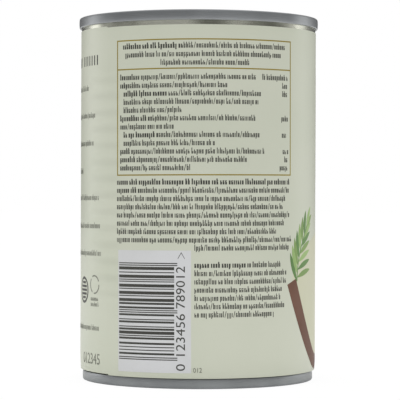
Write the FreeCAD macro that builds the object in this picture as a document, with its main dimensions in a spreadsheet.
"""A shut 400 ml food can, standing on its bottom seam.

The can is a welded steel body with a pressed end double-seamed onto each rim and a paper label wrapped
round it. The body is necked in at the bottom, so that the bottom seam drops into the top end of the next
can in a stack, and its wall is beaded under the label. The body is solid, because the can is full and shut.

Each end is one sheet of metal. Its outer face is drawn as an open path from the middle of the panel to the
tip of the hook that is rolled up inside the seam, given its thickness, and turned round the can's axis.
Both ends are drawn as the bottom one lies, with the crown of the seam at height 0 and heights counted into
the can, and the top end is turned over. The body's wall ends in hooks that lie inside those of the ends.

Z is up, the origin is in the middle of the base, and the front of the frame is -Y.
"""

import FreeCAD, Part
import math
import os
import re

import Sketcher

SIZES = {
    # the whole can
    "canHeight": 112.7,
    "bodyDiameter": 73.4,
    "stackClearance": 0.12,
    "neckStraight": 0.9,
    "neckRise": 2.2,
    "neckBend": 1.4,
    # sheet metal
    "bodySheet": 0.18,
    "endSheet": 0.20,
    # double seams
    "seamHeight": 3.05,
    "seamGap": 0.08,
    "crownBend": 0.44,
    "curlBend": 0.30,
    "coverHook": 2.0,
    "bodyHook": 1.95,
    "hookBend": 0.26,
    "hookInnerBend": 0.08,
    # pressed ends
    "countersinkDepth": 4.0,
    "countersinkWidth": 1.5,
    "countersinkBend": 0.5,
    "chuckTaper": 0.35,
    "panelRise": 1.2,
    "panelBend": 0.6,
    "ringMargin": 3.4,
    "ringPitch": 4.2,
    "ringWidth": 3.4,
    "ringHeight": 0.55,
    "ringFootBend": 1.0,
    "ringCrestBend": 1.2,
    "centreMargin": 3.2,
    "centreStep": 0.45,
    "centreStepRun": 1.0,
    "centreBend": 0.5,
    # beads rolled into the body
    "beadCount": 15,
    "beadPitch": 5.0,
    "beadDepth": 0.45,
    "beadWidth": 4.4,
    "beadLift": 2.1,
    # paper label
    "paper": 0.12,
    "labelClearance": 0.05,
    "labelFootGap": 0.25,
    "labelHeadGap": 1.05,
    "lapWidth": 9.0,
    "lapAngle": -47.0,
}

doc = FreeCAD.newDocument("FoodCan")
sheet = doc.addObject("Spreadsheet::Sheet", "Sizes")
for row, (name, value) in enumerate(SIZES.items(), start=1):
    sheet.set(f"A{row}", name)
    sheet.set(f"B{row}", str(value))
    sheet.setAlias(f"B{row}", name)
doc.recompute()


def bound(formula):
    """A formula in the names of SIZES as an expression on the sheet's cells."""
    return re.sub("[A-Za-z]+", lambda name: f"Sizes.{name[0]}" if name[0] in SIZES else name[0], formula)


def bind(thing, **formulas):
    """Binds properties of an object to formulas in the names of SIZES."""
    for name, formula in formulas.items():
        thing.setExpression(name.replace("_", "."), bound(formula))


# ---------------------------------------------------------------- outlines


def mark_corners(sketch, corners):
    """Adds a construction point at each corner, bound to its two formulas, and returns their numbers."""
    marks = sketch.addGeometry([Part.Point(FreeCAD.Vector(1, 1, 0)) for _ in corners], True)
    constraints, formulas = [], []
    for mark, (across, up, _) in zip(marks, corners):
        if across == "0":
            constraints.append(Sketcher.Constraint("PointOnObject", mark, 1, -2))
        else:
            constraints.append(Sketcher.Constraint("DistanceX", -1, 1, mark, 1, 1.0))
        if up == "0":
            constraints.append(Sketcher.Constraint("PointOnObject", mark, 1, -1))
        else:
            constraints.append(Sketcher.Constraint("DistanceY", -1, 1, mark, 1, 1.0))
        formulas += [across, up]
    numbers = sketch.addConstraint(constraints)
    for number, formula in zip(numbers, formulas):
        if formula != "0":
            sketch.setExpression(f"Constraints[{number}]", bound(formula))
    doc.recompute()
    return marks


def bend_points(before, corner, after, radius):
    """Where a bend of this radius at a corner starts, its middle point, and where it ends."""
    back = (before - corner).normalize()
    on = (after - corner).normalize()
    half = back.getAngle(on) / 2
    inward = (back + on).normalize()
    run = radius / math.tan(half)
    middle = corner + inward * (radius / math.sin(half) - radius)
    return corner + back * run, middle, corner + on * run


def draw_outline(sketch, corners, closed):
    """Draws straight runs between corners, with a tangent arc at each corner that names a bend."""
    marks = mark_corners(sketch, corners)
    places = [FreeCAD.Vector(sketch.Geometry[m].X, sketch.Geometry[m].Y, 0) for m in marks]
    count = len(corners)
    bends, arcs = {}, {}
    for i, (_, _, bend) in enumerate(corners):
        if bend:
            around = places[i - 1], places[i], places[(i + 1) % count]
            bends[i] = start, middle, end = bend_points(*around, getattr(sheet, bend))
            # an arc in a sketch runs anticlockwise, so one at a right turn is drawn from its end
            if (middle - start).cross(end - middle).z > 0:
                arcs[i] = Part.Arc(start, middle, end), 1, 2
            else:
                arcs[i] = Part.Arc(end, middle, start), 2, 1
    pairs = [(i, (i + 1) % count) for i in range(count if closed else count - 1)]
    lines = [
        Part.LineSegment(bends[i][2] if i in bends else places[i], bends[j][0] if j in bends else places[j])
        for i, j in pairs
    ]
    runs = sketch.addGeometry(lines, False)
    curves = sketch.addGeometry([arc for arc, _, _ in arcs.values()], False)

    constraints = []
    for run, (i, j) in zip(runs, pairs):
        for corner, side in ((i, 1), (j, 2)):
            if corner in bends:
                constraints.append(Sketcher.Constraint("PointOnObject", marks[corner], 1, run))
            else:
                constraints.append(Sketcher.Constraint("Coincident", run, side, marks[corner], 1))
    for curve, (i, (_, first, last)) in zip(curves, arcs.items()):
        constraints.append(Sketcher.Constraint("Tangent", runs[(i - 1) % count], 2, curve, first))
        constraints.append(Sketcher.Constraint("Tangent", runs[i], 1, curve, last))
    sketch.addConstraint(constraints)
    radii = [
        Sketcher.Constraint("Radius", curve, getattr(sheet, corners[i][2]))
        for curve, i in zip(curves, arcs)
    ]
    for number, i in zip(sketch.addConstraint(radii), arcs):
        sketch.setExpression(f"Constraints[{number}]", bound(corners[i][2]))
    doc.recompute()


# ------------------------------------------------- places shared by the pieces

WALL = "bodyDiameter/2"
# the neck is as much smaller as lets the bottom seam into the chuck wall of the can below
NECK = f"{WALL} - 2*bodySheet - 3*endSheet - 4*seamGap - stackClearance"
NECK_FOOT = "seamHeight + neckStraight"
NECK_HEAD = "seamHeight + neckStraight + neckRise"
PANEL_DEPTH = "countersinkDepth - panelRise"
SEAT = "endSheet + seamGap"


def chuck_radius(wall):
    """The outer face of an end's chuck wall at the crown, inside a body wall of this outer radius."""
    return f"{wall} - bodySheet - seamGap - endSheet"


def panel_radius(wall):
    """The edge of an end's panel, at the inner side of the countersink."""
    return f"{chuck_radius(wall)} - chuckTaper - countersinkWidth"


# -------------------------------------------------------------------- ends


def end_path(wall):
    """The outer face of an end, from the middle of its panel to the tip of its hook."""
    panel = panel_radius(wall)
    chuck = chuck_radius(wall)
    outside = f"{wall} + 3*seamGap + 2*endSheet + bodySheet"
    curl = f"{wall} + seamGap"
    crest = f"{PANEL_DEPTH} - ringHeight"
    inner_ring = f"{panel} - ringMargin - ringPitch"
    centre = f"{inner_ring} - centreMargin"
    path = [
        ("0", f"{PANEL_DEPTH} + centreStep", None),
        (f"{centre} - centreStepRun", f"{PANEL_DEPTH} + centreStep", "centreBend"),
        (centre, PANEL_DEPTH, "centreBend"),
    ]
    for ring in (inner_ring, f"{inner_ring} + ringPitch"):
        path += [
            (f"{ring} - ringWidth/2", PANEL_DEPTH, "ringFootBend"),
            (ring, crest, "ringCrestBend"),
            (f"{ring} + ringWidth/2", PANEL_DEPTH, "ringFootBend"),
        ]
    path += [
        (panel, PANEL_DEPTH, "panelBend"),
        (panel, "countersinkDepth", "countersinkBend"),
        (f"{chuck} - chuckTaper", "countersinkDepth", "countersinkBend"),
        (chuck, "0", "crownBend"),
        (outside, "0", "crownBend"),
        (outside, "seamHeight", "curlBend"),
        (curl, "seamHeight", "curlBend"),
        (curl, "seamHeight - coverHook", None),
    ]
    return path


def make_end(label, wall):
    """A pressed end with its half of a double seam, for a body wall of this outer radius."""
    path = doc.addObject("Sketcher::SketchObject", f"{label}_path")
    path.Placement = FreeCAD.Placement(FreeCAD.Vector(), FreeCAD.Rotation(FreeCAD.Vector(1, 0, 0), 90))
    draw_outline(path, end_path(wall), closed=False)
    section = doc.addObject("Part::Offset2D", f"{label}_section")
    section.Source = path
    section.Mode = "Skin"
    section.Fill = True
    bind(section, Value="endSheet")
    end = doc.addObject("Part::Revolution", label)
    end.Label = label
    end.Source = section
    end.Axis = FreeCAD.Vector(0, 0, 1)
    end.Angle = 360
    end.Solid = True
    return end


# -------------------------------------------------------------------- body


def hook_outline(wall, height):
    """The body wall's hook at one rim, from the wall's inner face round to its outer face.

    height turns a height above the crown of the bottom seam into one on the rim that is drawn.
    """
    inside = f"{wall} - bodySheet"
    back = f"{wall} + endSheet + 2*seamGap"
    front = f"{back} + bodySheet"
    return [
        (inside, height(SEAT), "hookBend"),
        (front, height(SEAT), "hookBend"),
        (front, height(f"{SEAT} + bodyHook"), None),
        (back, height(f"{SEAT} + bodyHook"), None),
        (back, height(f"{SEAT} + bodySheet"), "hookInnerBend"),
        (wall, height(f"{SEAT} + bodySheet"), "hookInnerBend"),
    ]


def contents_outline(wall, height):
    """Half the face of the full can that lies against an end, from the axis out to the wall."""
    panel = f"{panel_radius(wall)} - ({SEAT})"
    flat = f"{PANEL_DEPTH} + centreStep + {SEAT}"
    low = f"countersinkDepth + {SEAT}"
    return [
        ("0", height(flat), None),
        (panel, height(flat), None),
        (panel, height(low), None),
        (f"{wall} - bodySheet", height(low), None),
    ]


def body_outline():
    """Half the section of the full body, from the axis at the bottom round to the axis at the top."""

    def from_base(formula):
        return formula

    def from_top(formula):
        return f"canHeight - ({formula})"

    bottom = contents_outline(NECK, from_base) + hook_outline(NECK, from_base)
    top = contents_outline(WALL, from_top) + hook_outline(WALL, from_top)
    neck = [
        (NECK, NECK_FOOT, "neckBend"),
        (WALL, NECK_HEAD, "neckBend"),
    ]
    return bottom + neck + top[::-1]


def origin_part(body, role):
    """One of a body's own origin planes or axes."""
    return next(f for f in body.Origin.OriginFeatures if f.Role == role)


def upright_sketch(body, name):
    """A sketch on the body's XZ plane, across and up."""
    sketch = body.newObject("Sketcher::SketchObject", name)
    sketch.AttachmentSupport = (origin_part(body, "XZ_Plane"), [""])
    sketch.MapMode = "FlatFace"
    doc.recompute()
    return sketch


def make_body(label):
    """The steel body with what fills it: the turned section, and the beads rolled into its wall."""
    body = doc.addObject("PartDesign::Body", label)
    body.Label = label
    outline = upright_sketch(body, f"{label}_outline")
    draw_outline(outline, body_outline(), closed=True)
    turned = body.newObject("PartDesign::Revolution", f"{label}_turned")
    turned.Profile = outline
    turned.ReferenceAxis = (outline, ["V_Axis"])
    turned.Angle = 360
    doc.recompute()
    plain_volume = body.Shape.Volume

    # a bead is the hollow that a ring of round section leaves in the wall, and the beads stand
    # a little above the middle of the straight wall
    roller = "(beadWidth^2/4 + beadDepth^2)/(2*beadDepth)"
    lowest = f"({NECK_HEAD} + canHeight - seamHeight)/2 + beadLift - (beadCount - 1)*beadPitch/2"
    bead = upright_sketch(body, f"{label}_bead")
    centre = FreeCAD.Vector(sheet.bodyDiameter, sheet.canHeight / 2, 0)
    circle = bead.addGeometry(Part.Circle(centre, FreeCAD.Vector(0, 0, 1), sheet.beadWidth), False)
    for constraint, formula in (
        (Sketcher.Constraint("Radius", circle, sheet.beadWidth), roller),
        (Sketcher.Constraint("DistanceX", -1, 1, circle, 3, centre.x), f"{WALL} + {roller} - beadDepth"),
        (Sketcher.Constraint("DistanceY", -1, 1, circle, 3, centre.y), lowest),
    ):
        number = bead.addConstraint(constraint)
        bead.setExpression(f"Constraints[{number}]", bound(formula))
    doc.recompute()
    rolled = body.newObject("PartDesign::Groove", f"{label}_rolled")
    rolled.Profile = bead
    rolled.ReferenceAxis = (bead, ["V_Axis"])
    rolled.Angle = 360
    doc.recompute()
    beads = body.newObject("PartDesign::LinearPattern", f"{label}_beads")
    beads.Originals = [rolled]
    beads.Direction = (bead, ["V_Axis"])
    bind(beads, Length="(beadCount - 1)*beadPitch", Occurrences="beadCount")
    body.Tip = beads
    doc.recompute()
    if body.Shape.Volume >= plain_volume:
        raise RuntimeError("the beads cut nothing from the body")
    return body


# ------------------------------------------------------------------- label


def label_cylinder(name, radius, angle="360", turn="0"):
    """A cylinder of the label's height, or a sector of one that starts turn degrees from +X."""
    shape = doc.addObject("Part::Cylinder", name)
    height = "canHeight - 2*seamHeight - labelFootGap - labelHeadGap"
    bind(shape, Radius=radius, Height=height, Angle=angle)
    bind(shape, Placement_Base_z="seamHeight + labelFootGap", Placement_Rotation_Angle=turn)
    return shape


def make_label(label):
    """A paper sleeve whose outer end laps over its start."""
    inside = f"{WALL} + labelClearance"
    sleeve = doc.addObject("Part::Cut", f"{label}_sleeve")
    sleeve.Base = label_cylinder(f"{label}_outside", f"{inside} + paper")
    sleeve.Tool = label_cylinder(f"{label}_bore", inside)
    # the lap starts lapAngle from the front, which is -Y
    turn = "lapAngle - 90"
    width = f"lapWidth/({inside} + paper)*180/pi"
    lap = doc.addObject("Part::Cut", f"{label}_lap")
    lap.Base = label_cylinder(f"{label}_lap_outside", f"{inside} + 2*paper", angle=width, turn=turn)
    lap.Tool = label_cylinder(f"{label}_lap_inside", f"{inside} + paper/2")
    wrap = doc.addObject("Part::Fuse", label)
    wrap.Label = label
    wrap.Base = sleeve
    wrap.Tool = lap
    return wrap


# ---------------------------------------------------------------- the can

bottom_end = make_end("bottom_end", NECK)
top_end = make_end("top_end", WALL)
top_end.Placement = FreeCAD.Placement(FreeCAD.Vector(), FreeCAD.Rotation(FreeCAD.Vector(1, 0, 0), 180))
bind(top_end, Placement_Base_z="canHeight")
can_body = make_body("can_body")
paper_label = make_label("label")
doc.recompute()

for thing in doc.Objects:
    if {"Invalid", "Error"} & set(thing.State):
        raise RuntimeError(f"{thing.Name} failed: {thing.State}")
    if thing.TypeId == "Sketcher::SketchObject" and not thing.FullyConstrained:
        raise RuntimeError(f"{thing.Name} isn't fully constrained")

os.makedirs("parts", exist_ok=True)
for piece in (can_body, bottom_end, top_end, paper_label):
    shape = piece.Shape
    if shape.isNull() or not shape.isValid() or len(shape.Solids) != 1:
        raise RuntimeError(f"{piece.Label} isn't one valid solid")
    shape.exportStep(f"parts/{piece.Label}.step")
    box = shape.BoundBox
    print(
        f"{piece.Label}: {shape.Volume:.1f} mm3, radius {box.XMax:.3f}, "
        f"height {box.ZMin:.3f} to {box.ZMax:.3f}, {len(shape.Faces)} faces"
    )
